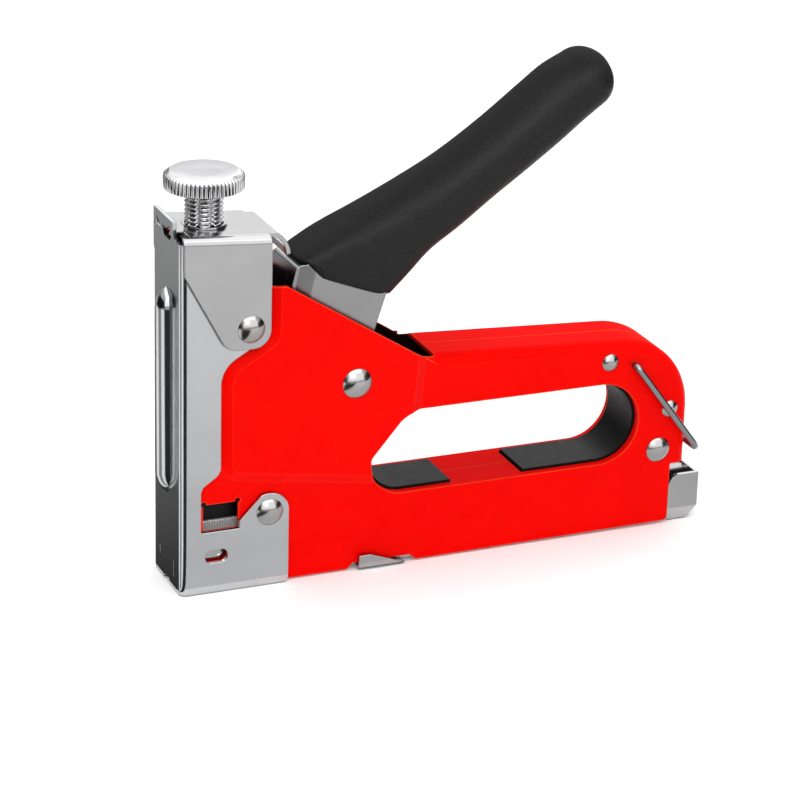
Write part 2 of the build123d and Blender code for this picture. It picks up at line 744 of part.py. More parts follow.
with BuildPart() as staple_strip:
    with BuildSketch(across(THROAT)):
        with Locations((0, (CROWN_TOP + LEG_LOW) / 2)):
            Rectangle(11.4, CROWN_TOP - LEG_LOW)
        with Locations((0, (RAIL_TOP + LEG_LOW) / 2)):
            Rectangle(10.0, RAIL_TOP - LEG_LOW, mode=Mode.SUBTRACT)
    extrude(amount=STRIP_LENGTH)
staple_strip.part.label = "staple_strip"

with BuildPart() as staple_pusher:
    with BuildSketch(across(PUSHER_FRONT)):
        with Locations((0, (4.0 + 20.2) / 2)):
            Rectangle(13.6, 16.2)
        with Locations((0, (5.2 + RAIL_TOP + 0.3) / 2)):
            Rectangle(2 * RAIL_Y + 0.6, RAIL_TOP + 0.3 - 5.2, mode=Mode.SUBTRACT)
    extrude(amount=PUSHER_LENGTH)
    with BuildSketch(across(PUSHER_FRONT)):
        with Locations((0, 10.6)):
            Rectangle(6.4, 13.2)
        with Locations((0, ROD_Z)):
            Circle(ROD_R + 0.05, mode=Mode.SUBTRACT)
    extrude(amount=PUSHER_LENGTH)
staple_pusher.part.label = "staple_pusher"

with BuildPart() as pusher_rod:
    with BuildSketch(across(20.0)):
        with Locations((0, ROD_Z)):
            Circle(ROD_R)
    extrude(amount=TAIL - 1.0 - 20.0)
pusher_rod.part.label = "pusher_rod"

with BuildPart() as pusher_spring:
    with BuildSketch(across(PUSHER_FRONT + PUSHER_LENGTH)):
        with Locations((0, ROD_Z)):
            Circle(3.2)
            Circle(2.0, mode=Mode.SUBTRACT)
    extrude(amount=SPRING_END - PUSHER_FRONT - PUSHER_LENGTH)
pusher_spring.part.label = "pusher_spring"

with BuildPart() as rear_latch:
    with BuildSketch(side(-9.2)):
        with BuildLine():
            FilletPolyline(
                (154.6, 0.0), (154.6, 14.6), (TAIL, 14.6), (TAIL, 3.8), (160.6, 0.0),
                radius=[0.6, 4.0, 0.4, 0.8, 0.8], close=True,
            )
        make_face()
    extrude(amount=18.4)
    with BuildSketch(side(-8.2)):
        with BuildLine():
            Polyline(
                (150, 1.0), (150, 20), (TAIL - 1.0, 20), (TAIL - 1.0, 4.2), (160.3, 1.0), close=True,
            )
        make_face()
    extrude(amount=16.4, mode=Mode.SUBTRACT)
rear_latch.part.label = "rear_latch"

# ---------------------------------------------------------------- wire bail
BAIL_LENGTH = 35.6
BAIL_HANG = 53.0      # degrees below level at rest
LEG_Y = 13.4
bail_dir = (cos(radians(BAIL_HANG)), -sin(radians(BAIL_HANG)))
bail_end = (BAIL_PIN[0] + BAIL_LENGTH * bail_dir[0], BAIL_PIN[1] + BAIL_LENGTH * bail_dir[1])


def bail_point(point, y):
    """Point of the wire at depth y, in the model's frame."""
    return (NOSE_X + point[0], y, point[1])


with BuildPart() as wire_bail:
    with BuildLine():
        FilletPolyline(
            bail_point(BAIL_PIN, -SHELL_IN + 1.0), bail_point(BAIL_PIN, -LEG_Y),
            bail_point(bail_end, -LEG_Y), bail_point(bail_end, LEG_Y),
            bail_point(BAIL_PIN, LEG_Y), bail_point(BAIL_PIN, SHELL_IN - 1.0),
            radius=[1.6, 3.0, 3.0, 1.6],
        )
    with BuildSketch(Plane(bail_point(BAIL_PIN, -SHELL_IN + 1.0), z_dir=(0, -1, 0))):
        Circle(WIRE_R)
    sweep()
wire_bail.part.label = "wire_bail"

# ---------------------------------------------------------------- files
for piece in (
    left_body_shell, right_body_shell, nose_cover, top_cap, screw_collar, power_screw, spring_seat,
    plunger, driver_blade, main_spring, blade_guide, feed_guard, lever_arm, lift_pin, grip_sleeve,
    lever_rivet, cap_rivet, nose_rivet, rear_upper_rivet, rear_middle_rivet, rear_lower_rivet,
    rear_spacers,
    pivot_spacer, lever_spring, front_liner, rear_liner, magazine_channel, staple_rail, staple_strip,
    rail_bracket, staple_pusher, pusher_rod, pusher_spring, rear_latch, wire_bail,
):
    export_step(piece.part, f"parts/{piece.part.label}.step")
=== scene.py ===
"""Looks of the hand staple gun: enamelled shells, chromed nose and cap, rubber grip,
threaded power screw, coiled springs and a strip of staples."""

import json
import math

import bpy
from mathutils import Matrix, Vector


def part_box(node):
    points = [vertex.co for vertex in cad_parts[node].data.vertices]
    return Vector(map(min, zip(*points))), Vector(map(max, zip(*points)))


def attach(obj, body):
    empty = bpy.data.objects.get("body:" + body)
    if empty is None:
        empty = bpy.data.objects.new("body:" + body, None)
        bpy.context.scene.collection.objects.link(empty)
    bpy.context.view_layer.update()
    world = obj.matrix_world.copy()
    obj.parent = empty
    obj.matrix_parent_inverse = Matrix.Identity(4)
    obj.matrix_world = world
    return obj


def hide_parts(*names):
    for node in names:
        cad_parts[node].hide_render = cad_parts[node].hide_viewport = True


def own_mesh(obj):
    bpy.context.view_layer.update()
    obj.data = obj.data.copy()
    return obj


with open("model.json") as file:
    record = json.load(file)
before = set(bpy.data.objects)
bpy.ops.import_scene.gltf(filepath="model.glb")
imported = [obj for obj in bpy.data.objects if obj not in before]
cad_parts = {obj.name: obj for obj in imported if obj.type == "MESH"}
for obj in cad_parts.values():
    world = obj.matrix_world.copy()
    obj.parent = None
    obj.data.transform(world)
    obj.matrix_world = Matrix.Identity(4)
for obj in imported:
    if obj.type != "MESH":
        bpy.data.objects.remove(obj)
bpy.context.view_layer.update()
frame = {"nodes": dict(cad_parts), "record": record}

MM = 0.001
TAU = 2 * math.pi
nodes = frame["nodes"]
SHELL_FRONT = 1.4     # the shells start this far behind the nose face, in millimetres
NOSE_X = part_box("left_body_shell")[0].x - SHELL_FRONT * MM


def place(x, y, z):
    """Point of the row frame from millimetres behind the nose, across and up."""
    return Vector((NOSE_X + x * MM, y * MM, z * MM))


def middle(name):
    """Centre of a CAD node's box."""
    low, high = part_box(name)
    return (low + high) / 2


# ---------------------------------------------------------------- materials
def new_material(name, color, metallic, roughness, specular=0.5):
    """Principled material; returns it with its node tree and shader."""
    material = bpy.data.materials.new(name)
    material.use_nodes = True
    tree = material.node_tree
    shader = tree.nodes["Principled BSDF"]
    shader.inputs["Base Color"].default_value = (*color, 1.0)
    shader.inputs["Metallic"].default_value = metallic
    shader.inputs["Roughness"].default_value = roughness
    shader.inputs["Specular IOR Level"].default_value = specular
    return material, tree, shader


def noise(tree, scale, detail=3.0):
    """Noise over the object's own coordinates; returns its value socket."""
    coord = tree.nodes.new("ShaderNodeTexCoord")
    texture = tree.nodes.new("ShaderNodeTexNoise")
    texture.inputs["Scale"].default_value = scale
    texture.inputs["Detail"].default_value = detail
    tree.links.new(coord.outputs["Object"], texture.inputs["Vector"])
    return texture.outputs["Fac"]


def cells(tree, scale):
    """Rounded cells over the object's own coordinates, for leather-like grain."""
    coord = tree.nodes.new("ShaderNodeTexCoord")
    texture = tree.nodes.new("ShaderNodeTexVoronoi")
    texture.feature = "SMOOTH_F1"
    texture.inputs["Scale"].default_value = scale
    tree.links.new(coord.outputs["Object"], texture.inputs["Vector"])
    return texture.outputs["Distance"]


def color_ramp(tree, factor, low, high, bounds=(0.3, 0.7)):
    """Colour socket that runs from low to high as factor crosses bounds."""
    ramp = tree.nodes.new("ShaderNodeValToRGB")
    ramp.color_ramp.elements[0].position = bounds[0]
    ramp.color_ramp.elements[0].color = (*low, 1)
    ramp.color_ramp.elements[1].position = bounds[1]
    ramp.color_ramp.elements[1].color = (*high, 1)
    tree.links.new(factor, ramp.inputs["Fac"])
    return ramp.outputs["Color"]


def vary_roughness(tree, shader, factor, low, high):
    """Roughness that follows a noise between two values."""
    span = tree.nodes.new("ShaderNodeMapRange")
    span.inputs["To Min"].default_value = low
    span.inputs["To Max"].default_value = high
    tree.links.new(factor, span.inputs["Value"])
    tree.links.new(span.outputs["Result"], shader.inputs["Roughness"])


def dull_above(tree, shader, factor, span, flank, top):
    """Roughness that a noise varies by span, higher on upper sides than on the flanks."""
    geometry = tree.nodes.new("ShaderNodeNewGeometry")
    facing = tree.nodes.new("ShaderNodeSeparateXYZ")
    dull = tree.nodes.new("ShaderNodeMapRange")
    dull.inputs["From Min"].default_value = 0.25
    dull.inputs["From Max"].default_value = 0.75
    dull.inputs["To Min"].default_value = flank
    dull.inputs["To Max"].default_value = top
    grain = tree.nodes.new("ShaderNodeMath")
    grain.operation = "MULTIPLY_ADD"
    grain.inputs[1].default_value = span
    tree.links.new(geometry.outputs["Normal"], facing.inputs["Vector"])
    tree.links.new(facing.outputs["Z"], dull.inputs["Value"])
    tree.links.new(factor, grain.inputs[0])
    tree.links.new(dull.outputs["Result"], grain.inputs[2])
    tree.links.new(grain.outputs["Value"], shader.inputs["Roughness"])


def soft_edges(tree, radius):
    """Normal rounded over edges, so folded sheet catches light along its bends."""
    bevel = tree.nodes.new("ShaderNodeBevel")
    bevel.samples = 6
    bevel.inputs["Radius"].default_value = radius
    return bevel.outputs["Normal"]


def bump(tree, shader, factor, strength, distance, normal=None):
    """Fine relief on top of a normal."""
    node = tree.nodes.new("ShaderNodeBump")
    node.inputs["Strength"].default_value = strength
    node.inputs["Distance"].default_value = distance
    tree.links.new(factor, node.inputs["Height"])
    if normal is not None:
        tree.links.new(normal, node.inputs["Normal"])
    tree.links.new(node.outputs["Normal"], shader.inputs["Normal"])


def edge_mask(tree, rounded, reach):
    """0 on flat faces, 1 where the rounded normal leaves the true one, along edges."""
    geometry = tree.nodes.new("ShaderNodeNewGeometry")
    dot = tree.nodes.new("ShaderNodeVectorMath")
    dot.operation = "DOT_PRODUCT"
    tree.links.new(rounded, dot.inputs[0])
    tree.links.new(geometry.outputs["Normal"], dot.inputs[1])
    span = tree.nodes.new("ShaderNodeMapRange")
    span.inputs["From Min"].default_value = 1.0
    span.inputs["From Max"].default_value = 1.0 - reach
    tree.links.new(dot.outputs["Value"], span.inputs["Value"])
    return span.outputs["Result"]


def mix_color(tree, factor, low, high):
    """Mix of two colour sockets."""
    mix = tree.nodes.new("ShaderNodeMix")
    mix.data_type = "RGBA"
    tree.links.new(factor, mix.inputs["Factor"])
    tree.links.new(low, mix.inputs["A"])
    tree.links.new(high, mix.inputs["B"])
    return mix.outputs["Result"]


INWARD = -0.0045      # product of Y and the normal's Y, in metres, below which a face looks in


def inner_shade_mask(tree):
    """1 on faces that look towards the seam at Y = 0, 0 on the others; the mask for the painted
    shade inside the shells.
    """
    geometry = tree.nodes.new("ShaderNodeNewGeometry")
    coord = tree.nodes.new("ShaderNodeTexCoord")
    facing, depth = (tree.nodes.new("ShaderNodeSeparateXYZ") for _ in range(2))
    tree.links.new(geometry.outputs["True Normal"], facing.inputs["Vector"])
    tree.links.new(coord.outputs["Object"], depth.inputs["Vector"])
    product = tree.nodes.new("ShaderNodeMath")
    product.operation = "MULTIPLY"
    tree.links.new(facing.outputs["Y"], product.inputs[0])
    tree.links.new(depth.outputs["Y"], product.inputs[1])
    inward = tree.nodes.new("ShaderNodeMath")
    inward.operation = "LESS_THAN"
    tree.links.new(product.outputs["Value"], inward.inputs[0])
    inward.inputs[1].default_value = INWARD
    return inward.outputs["Value"]


def red_enamel():
    """Gloss red paint with a painted orange highlight along its edges and painted shade, near
    black, on the faces inside the tool.
    """
    material, tree, shader = new_material("red_enamel", (0.9, 0.0, 0.0), 0.0, 0.3, 0.045)
    shader.inputs["Specular Tint"].default_value = (1.0, 0.50, 0.32, 1.0)
    rounded = soft_edges(tree, 0.0006)
    grain = noise(tree, 60)
    body = color_ramp(tree, grain, (0.90, 0.0006, 0.0003), (0.97, 0.0010, 0.0005))
    # painted highlight: a pale orange-red colour laid along the rounded edges, where light would
    # catch them
    edge = color_ramp(tree, grain, (1.0, 0.10, 0.035), (1.0, 0.14, 0.05))
    color = mix_color(tree, edge_mask(tree, rounded, 0.25), body, edge)
    # painted shade: faces that look inwards get a near-black colour in place of the red
    dark = color_ramp(tree, grain, (0.010, 0.004, 0.004), (0.014, 0.005, 0.005))
    color = mix_color(tree, inner_shade_mask(tree), color, dark)
    tree.links.new(color, shader.inputs["Base Color"])
    dull_above(tree, shader, noise(tree, 130), 0.12, 0.22, 0.70)
    bump(tree, shader, noise(tree, 700, 2), 0.10, 0.00003, rounded)
    return material


def openness(tree, reach):
    """Near 0 inside grooves narrower than reach, 1 in the open."""
    hollow = tree.nodes.new("ShaderNodeAmbientOcclusion")
    hollow.samples = 8
    hollow.inputs["Distance"].default_value = reach
    return hollow.outputs["AO"]


def plate(name, color, low, high, round_by=0.0004, shade=0.0, metallic=1.0):
    """Plated or drawn metal with faint clouding, a soft edge and painted shade, near black, in its
    corners.
    """
    material, tree, shader = new_material(name, color, metallic, low)
    dark = tuple(c * 0.94 for c in color)
    light = tuple(min(1.0, c * 1.05) for c in color)
    tone = color_ramp(tree, noise(tree, 45), dark, light)
    if shade:
        # painted shade: the colour turns near black where occlusion finds other surfaces close by
        free = openness(tree, shade)
        black = color_ramp(tree, free, (0.05, 0.05, 0.05), (0.04, 0.04, 0.04))
        open_part = tree.nodes.new("ShaderNodeMapRange")
        open_part.inputs["From Min"].default_value = 0.45
        open_part.inputs["From Max"].default_value = 0.85
        tree.links.new(free, open_part.inputs["Value"])
        tone = mix_color(tree, open_part.outputs["Result"], black, tone)
    tree.links.new(tone, shader.inputs["Base Color"])
    vary_roughness(tree, shader, noise(tree, 220, 4), low, high)
    bump(tree, shader, noise(tree, 1500, 2), 0.06, 0.00001, soft_edges(tree, round_by))
    return material


def level_face(tree):
    """1 on faces that look straight up, 0 on the others."""
    geometry = tree.nodes.new("ShaderNodeNewGeometry")
    facing = tree.nodes.new("ShaderNodeSeparateXYZ")
    span = tree.nodes.new("ShaderNodeMapRange")
    span.inputs["From Min"].default_value = 0.97
    span.inputs["From Max"].default_value = 0.995
    tree.links.new(geometry.outputs["Normal"], facing.inputs["Vector"])
    tree.links.new(facing.outputs["Z"], span.inputs["Value"])
    return span.outputs["Result"]


def machined():
    """Bright turned metal with painted shade, near black, in the grooves of its knurl and thread,
    and a painted darker top.
    """
    material, tree, shader = new_material("machined_chrome", (0.7, 0.7, 0.71), 1.0, 0.14)
    # painted shade: the colour turns near black inside the grooves
    color = color_ramp(
        tree, openness(tree, 0.0012), (0.03, 0.03, 0.032), (0.70, 0.70, 0.71), (0.35, 0.85),
    )
    # painted shade: faces that look straight up get a darker grey than the rest of the knob
    painted_top_shade = color_ramp(tree, noise(tree, 200), (0.36, 0.36, 0.37), (0.40, 0.40, 0.41))
    color = mix_color(tree, level_face(tree), color, painted_top_shade)
    tree.links.new(color, shader.inputs["Base Color"])
    vary_roughness(tree, shader, noise(tree, 300, 4), 0.12, 0.22)
    bump(tree, shader, noise(tree, 1600, 2), 0.06, 0.00001, soft_edges(tree, 0.0001))
    return material


def black_rubber():
    """Rubber with a leather-like grain."""
    material, tree, shader = new_material("black_rubber", (0.02, 0.02, 0.022), 0.0, 0.5, 0.24)
    speck = color_ramp(tree, noise(tree, 2600, 2), (0.003, 0.003, 0.0033), (0.014, 0.014, 0.015))
    tree.links.new(speck, shader.inputs["Base Color"])
    dull_above(tree, shader, noise(tree, 900, 3), 0.14, 0.40, 0.85)
    bump(tree, shader, cells(tree, 1350), 0.45, 0.00020)
    return material


def black_plastic():
    """Satin black moulding."""
    material, tree, shader = new_material("black_plastic", (0.012, 0.012, 0.013), 0.0, 0.4, 0.07)
    speck = color_ramp(tree, noise(tree, 500), (0.003, 0.003, 0.0032), (0.008, 0.008, 0.0085))
    tree.links.new(speck, shader.inputs["Base Color"])
    vary_roughness(tree, shader, noise(tree, 400), 0.34, 0.48)
    bump(tree, shader, noise(tree, 1800, 2), 0.2, 0.00005, soft_edges(tree, 0.0006))
    return material


RED = red_enamel()
CHROME = plate("chrome_plate", (0.43, 0.43, 0.435), 0.11, 0.16, shade=0.0009)
NOSE = plate("nose_chrome", (0.53, 0.535, 0.545), 0.12, 0.17, shade=0.0009)
LEVER = plate("lever_plate", (0.30, 0.30, 0.305), 0.22, 0.30, shade=0.0008)
BRIGHT = plate("bright_chrome", (0.42, 0.415, 0.405), 0.16, 0.23, 0.0002, shade=0.0006)
WIRE_STEEL = plate("bail_wire", (0.30, 0.30, 0.31), 0.20, 0.28)
BLUED = plate("blued_steel", (0.02, 0.02, 0.022), 0.40, 0.50)
STEEL = plate("zinc_steel", (0.42, 0.42, 0.43), 0.32, 0.45)
SPRING = plate("spring_steel", (0.36, 0.36, 0.38), 0.25, 0.35)
STAPLE = plate("staple_wire", (0.88, 0.88, 0.87), 0.40, 0.52, 0.0001, metallic=0.25)
MACHINED = machined()
RUBBER = black_rubber()
PLASTIC = black_plastic()

FINISH = {
    "red_paint": RED, "chrome": CHROME, "steel": STEEL, "spring_steel": SPRING,
    "staple_wire": STAPLE, "black_rubber": RUBBER, "black_plastic": PLASTIC, "blued_steel": BLUED,
}
OWN_FINISH = {
    "lever_arm": LEVER, "wire_bail": WIRE_STEEL, "nose_cover": NOSE, "screw_collar": MACHINED,
}
SLOT = {row["node"]: row["material_slot"] for row in frame["record"]["subparts"]}
for name, node in nodes.items():
    finish = BRIGHT if name.endswith("rivet") else OWN_FINISH.get(name, FINISH[SLOT[name]])
    node.data.materials.clear()
    node.data.materials.append(finish)


# ---------------------------------------------------------------- mesh helpers
def skin(name, rings, material, sharp):
    """Object whose surface joins equal rings of points in turn and is closed at both ends."""
    count = len(rings[0])
    points = [point for ring in rings for point in ring]
    faces = []
    for i in range(len(rings) - 1):
        here, after = i * count, (i + 1) * count
        for j in range(count):
            k = (j + 1) % count
            faces.append((here + j, here + k, after + k, after + j))
    faces.append(tuple(reversed(range(count))))
    faces.append(tuple(range(len(points) - count, len(points))))
    mesh = bpy.data.meshes.new(name)
    mesh.from_pydata(points, [], faces)
    mesh.polygons.foreach_set("use_smooth", [True] * len(mesh.polygons))
    mesh.set_sharp_from_angle(angle=sharp)
    mesh.materials.append(material)
    mesh.validate()
    piece = bpy.data.objects.new(name, mesh)
    bpy.context.scene.collection.objects.link(piece)
    return piece


def install(piece, body, node):
    """The piece rides on a body in place of a CAD node."""
    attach(piece, body)
    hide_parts(node)


def join(name, parts):
    """One object from several."""
    with bpy.context.temp_override(
        active_object=parts[0], selected_editable_objects=parts, selected_objects=parts
    ):
        bpy.ops.object.join()
    parts[0].name = name
    return parts[0]


def interpolate(values, t):
    """Smooth (Catmull-Rom) value at t in 0..1 through equally spaced tuples."""
    spans = len(values) - 1
    i = min(int(t * spans), spans - 1)
    f = t * spans - i
    a, b, c, d = (values[min(max(i + k, 0), spans)] for k in (-1, 0, 1, 2))
    return tuple(
        q + 0.5 * f * (r - p + f * (2 * p - 5 * q + 4 * r - s + f * (3 * (q - r) + s - p)))
        for p, q, r, s in zip(a, b, c, d)
    )


# ---------------------------------------------------------------- rubber grip
# each station: top x, z, underside x, z, half width, roundness of the top and of the underside
GRIP_STATIONS = (
    (36.4, 95.3, 64.3, 81.9, 10.0, 5.0, 4.6),
    (43.6, 99.5, 69.7, 87.2, 10.4, 4.5, 4.2),
    (53.2, 104.9, 76.5, 93.3, 10.35, 2.8, 3.4),
    (66.5, 111.6, 85.4, 99.2, 10.3, 2.3, 3.1),
    (80.2, 118.8, 95.4, 106.6, 10.25, 2.2, 2.9),
    (93.4, 127.5, 105.4, 113.7, 10.25, 2.2, 2.9),
    (105.0, 136.3, 115.0, 120.8, 10.2, 2.2, 3.0),
    (112.4, 141.8, 121.6, 126.0, 10.15, 2.2, 3.0),
    (118.9, 145.0, 128.2, 130.8, 10.1, 2.2, 2.9),
)
GRIP_AROUND = 96
GRIP_ALONG = 72
TIP_RINGS = 18
TIP_REACH = 8.3       # how far the round tip runs past the last station
MOUTH_SHARE = 0.90    # size of the mouth's opening against the end face
MOUTH_DEPTH = 5
RIM_SHARE = 0.985     # size of the end face's flat part


def grip_ring(top_x, top_z, under_x, under_z, half, round_top, round_under):
    """Ring of a station: rounder above than below."""
    top, under = place(top_x, 0, top_z), place(under_x, 0, under_z)
    centre, reach = (top + under) / 2, (top - under) / 2
    ring = []
    for k in range(GRIP_AROUND):
        angle = TAU * k / GRIP_AROUND
        c, s = math.cos(angle), math.sin(angle)
        power = 2 / (round_top if c > 0 else round_under)
        along = math.copysign(abs(c) ** power, c)
        across = math.copysign(abs(s) ** power, s)
        ring.append(centre + reach * along + Vector((0, half * MM * across, 0)))
    return ring


def grip():
    """Rubber sleeve: a mouth that the lever runs into, the body and a round tip."""
    rings = []
    first = grip_ring(*GRIP_STATIONS[0])
    face = grip_ring(37.9, 91.2, 63.3, 81.5, 9.6, 4.0, 4.0)
    centre = sum(face, Vector()) / GRIP_AROUND
    inward = (place(80.2, 0, 118.6) - place(53.2, 0, 104.9)).normalized()
    mouth = [centre + (p - centre) * MOUTH_SHARE for p in face]
    rings.append([p + inward * MOUTH_DEPTH * MM for p in mouth])
    rings.append(mouth)
    rings.append([centre + (p - centre) * RIM_SHARE for p in face])
    # the rim rolls from the end face onto the side
    for share in (0.25, 0.6, 0.85):
        rings.append([a.lerp(b, share) for a, b in zip(face, first)])
    for i in range(GRIP_ALONG + 1):
        rings.append(grip_ring(*interpolate(GRIP_STATIONS, i / GRIP_ALONG)))
    last = rings[-1]
    centre = sum(last, Vector()) / GRIP_AROUND
    forward = (place(123.6, 0, 137.9) - place(115.3, 0, 132.3)).normalized()
    for i in range(1, TIP_RINGS):
        turn = i / TIP_RINGS * math.pi / 2
        shift = forward * TIP_REACH * MM * math.sin(turn)
        rings.append([centre + (p - centre) * math.cos(turn) + shift for p in last])
    piece = skin("rubber_grip", rings, RUBBER, sharp=math.radians(60))
    install(piece, "lever", "grip_sleeve")


grip()

# ---------------------------------------------------------------- power screw
SCREW_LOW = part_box("power_screw")[0].z
SCREW_AXIS = middle("power_screw")
KNOB_LOW = 116.2 * MM
SCREW_R, THREAD, THREAD_DEPTH = 5.4 * MM, 1.25 * MM, 0.7 * MM
ROD_AROUND, ROD_STEPS = 160, 12    # points round the rod, and rings for each turn of thread
FLANK, ROOT = 2.6, 0.15            # steepness of a thread's flank and width of its crest
ROD_OVERLAP = 0.3 * MM             # the rod runs this far into the knob
GROOVES = 8
GROOVE_DEPTH = 0.95 * MM
GROOVE_HALF, GROOVE_TURN = 0.17, 0.35    # half width and place of a groove, in groove spacings
KNOB_R = 11.2 * MM
TEETH = 56


def on_axis(radius, angle, z):
    """Point at a radius and angle about the power screw's axis."""
    return Vector((
        SCREW_AXIS.x + radius * math.cos(angle), SCREW_AXIS.y + radius * math.sin(angle), z,
    ))


def threaded_rod():
    """Threaded rod with grooves cut along it."""
    steps = int((KNOB_LOW - SCREW_LOW) / THREAD * ROD_STEPS)
    rings = []
    for i in range(steps + 1):
        z = SCREW_LOW + (KNOB_LOW + ROD_OVERLAP - SCREW_LOW) * i / steps
        ring = []
        for k in range(ROD_AROUND):
            angle = TAU * k / ROD_AROUND
            phase = ((z - SCREW_LOW) / THREAD - angle / TAU) % 1.0
            tooth = min(1.0, max(0.0, FLANK * abs(phase - 0.5) - ROOT))
            radius = SCREW_R - THREAD_DEPTH * tooth
            off = (angle * GROOVES / TAU + GROOVE_TURN) % 1.0 - 0.5
            groove = max(0.0, 1.0 - (abs(off) / GROOVE_HALF) ** 2)
            radius = min(radius, SCREW_R - GROOVE_DEPTH * groove) if groove else radius
            ring.append(on_axis(radius, angle, z))
        rings.append(ring)
    return skin("screw_rod", rings, MACHINED, sharp=math.radians(50))


def knob():
    """Knurled head: straight teeth round the rim, a bevelled top and a shallow dish."""
    around = TEETH * 8
    # (distance in from the rim, height, depth of the teeth there), in millimetres
    profile = (
        (6.0, 0.0, 0.0), (0.8, 0.0, 0.0), (0.4, 0.10, 0.2), (0.0, 0.38, 0.5), (0.0, 3.8, 0.5),
        (0.25, 4.1, 0.35), (0.6, 4.3, 0.0), (1.3, 4.85, 0.0), (1.7, 5.04, 0.0), (2.2, 5.1, 0.0),
        (6.0, 5.1, 0.0), (9.0, 5.08, 0.0), (10.8, 5.06, 0.0),
    )
    rings = []
    for inset, height, depth in profile:
        ring = []
        for k in range(around):
            wave = abs(math.sin(TAU * k / around * TEETH / 2)) ** 0.8
            radius = KNOB_R - inset * MM - depth * MM * (1 - wave)
            ring.append(on_axis(radius, TAU * k / around, KNOB_LOW + height * MM))
        rings.append(ring)
    return skin("knob", rings, MACHINED, sharp=math.radians(32))


install(join("power_screw_knob", [knob(), threaded_rod()]), "power_screw", "power_screw")


# ---------------------------------------------------------------- springs
CLOSED = 1.2          # turns closed up at each end of a coil
COIL_STEPS, WIRE_AROUND = 28, 10    # rings for each turn of a coil, and points round its wire


def coil_rise(turn, length, wire, turns):
    """Height of the wire's centre above the coil's end after that many turns."""
    free = turns - 2 * CLOSED
    open_pitch = (length - 2 * wire - 4 * wire * CLOSED) / free
    rise = 2 * wire * min(turn, CLOSED) + 2 * wire * max(0.0, turn - turns + CLOSED)
    return wire + rise + open_pitch * min(max(turn - CLOSED, 0.0), free)


def coil(name, start, axis, length, mean, wire, turns, part=(0.0, 1.0)):
    """Coil of a mean radius and wire radius; part is the share of its turns that is made."""
    axis = axis.normalized()
    side = axis.orthogonal().normalized()
    other = axis.cross(side)
    steps = int(turns * COIL_STEPS)
    rings = []
    for i in range(round(part[0] * steps), round(part[1] * steps) + 1):
        turn = turns * i / steps
        angle = TAU * turn
        out = side * math.cos(angle) + other * math.sin(angle)
        centre = start + axis * coil_rise(turn, length, wire, turns) + out * mean
        ring = []
        for k in range(WIRE_AROUND):
            a = TAU * k / WIRE_AROUND
            ring.append(centre + (out * math.cos(a) + axis * math.sin(a)) * wire)
        rings.append(ring)
    return skin(name, rings, SPRING, sharp=math.radians(60))


# the main coil is made in two pieces, a lower one and an upper one
low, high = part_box("main_spring")
MAIN_MEAN, MAIN_WIRE, MAIN_TURNS = 5.5 * MM, 1.08 * MM, 8.4
SPLIT = 0.74          # share of the turns in the lower piece
PLUNGER_RISE, SEAT_DROP = 20.0 * MM, 3.8 * MM
main_length = high.z - low.z
split_z = low.z + coil_rise(SPLIT * MAIN_TURNS, main_length, MAIN_WIRE, MAIN_TURNS)
for name, part, joint, reach, travel in (
    ("main_coil", (0.0, SPLIT), "plunger_slide", split_z - low.z, PLUNGER_RISE),
    ("main_coil_top", (SPLIT, 1.0), "seat_slide", high.z - split_z, SEAT_DROP),
):
    piece = coil(
        name, Vector((SCREW_AXIS.x, SCREW_AXIS.y, low.z)), Vector((0, 0, 1)), main_length,
        MAIN_MEAN, MAIN_WIRE, MAIN_TURNS, part,
    )
    install(piece, "frame", "main_spring")
    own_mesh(piece)

low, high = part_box("pusher_spring")
centre = middle("pusher_spring")
PUSHER_MEAN, PUSHER_WIRE, PUSHER_TURNS = 2.6 * MM, 0.55 * MM, 22
pusher_coil = coil(
    "pusher_coil", Vector((low.x, centre.y, centre.z)), Vector((1, 0, 0)), high.x - low.x,
    PUSHER_MEAN, PUSHER_WIRE, PUSHER_TURNS,
)
install(pusher_coil, "magazine_rod", "pusher_spring")
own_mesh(pusher_coil)

low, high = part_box("lever_spring")
centre = middle("lever_spring")
LEVER_MEAN, LEVER_WIRE, LEVER_TURNS = 5.4 * MM, 0.78 * MM, 7.0
lever_coil = coil(
    "lever_coil", Vector((centre.x, low.y, centre.z)), Vector((0, 1, 0)), high.y - low.y,
    LEVER_MEAN, LEVER_WIRE, LEVER_TURNS,
)
install(lever_coil, "frame", "lever_spring")

# ---------------------------------------------------------------- staples
WIRE, PITCH = 0.66 * MM, 0.75 * MM
BEND, BEND_STEPS = 0.7 * MM, 6
FLAT = 0.42           # half thickness of the flattened wire, in widths


def staple(x, low, high, number):
    """One staple: a crown across the rail and two legs, with tight bends."""
    half = (high.y - low.y) / 2 - WIRE / 2
    top = high.z - WIRE / 2
    path = [(-half, low.z)]
    for side in (-1, 1):
        steps = range(BEND_STEPS + 1)
        for k in steps if side < 0 else reversed(steps):
            a = math.pi / 2 * k / BEND_STEPS
            y = side * (half - BEND + BEND * math.cos(a))
            path.append((y, top - BEND + BEND * math.sin(a)))
    path.append((half, low.z))
    rings = []
    for i, (y, z) in enumerate(path):
        before, after = path[max(i - 1, 0)], path[min(i + 1, len(path) - 1)]
        run = Vector((0, after[0] - before[0], after[1] - before[1])).normalized()
        out = Vector((0, -run.z, run.y)) * (WIRE * FLAT)
        deep = Vector((WIRE / 2, 0, 0))
        centre = Vector((x, y, z))
        corners = (
            (0.6, 1.0), (1.0, 0.6), (1.0, -0.6), (0.6, -1.0),
            (-0.6, -1.0), (-1.0, -0.6), (-1.0, 0.6), (-0.6, 1.0),
        )
        rings.append([centre + deep * a + out * b for a, b in corners])
    return skin(f"staple_{number}", rings, STAPLE, sharp=math.radians(50))


low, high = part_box("staple_strip")
strip = [
    staple(low.x + PITCH * (i + 0.5), low, high, i) for i in range(int((high.x - low.x) / PITCH))
]
install(join("staples", strip), "frame", "staple_strip")


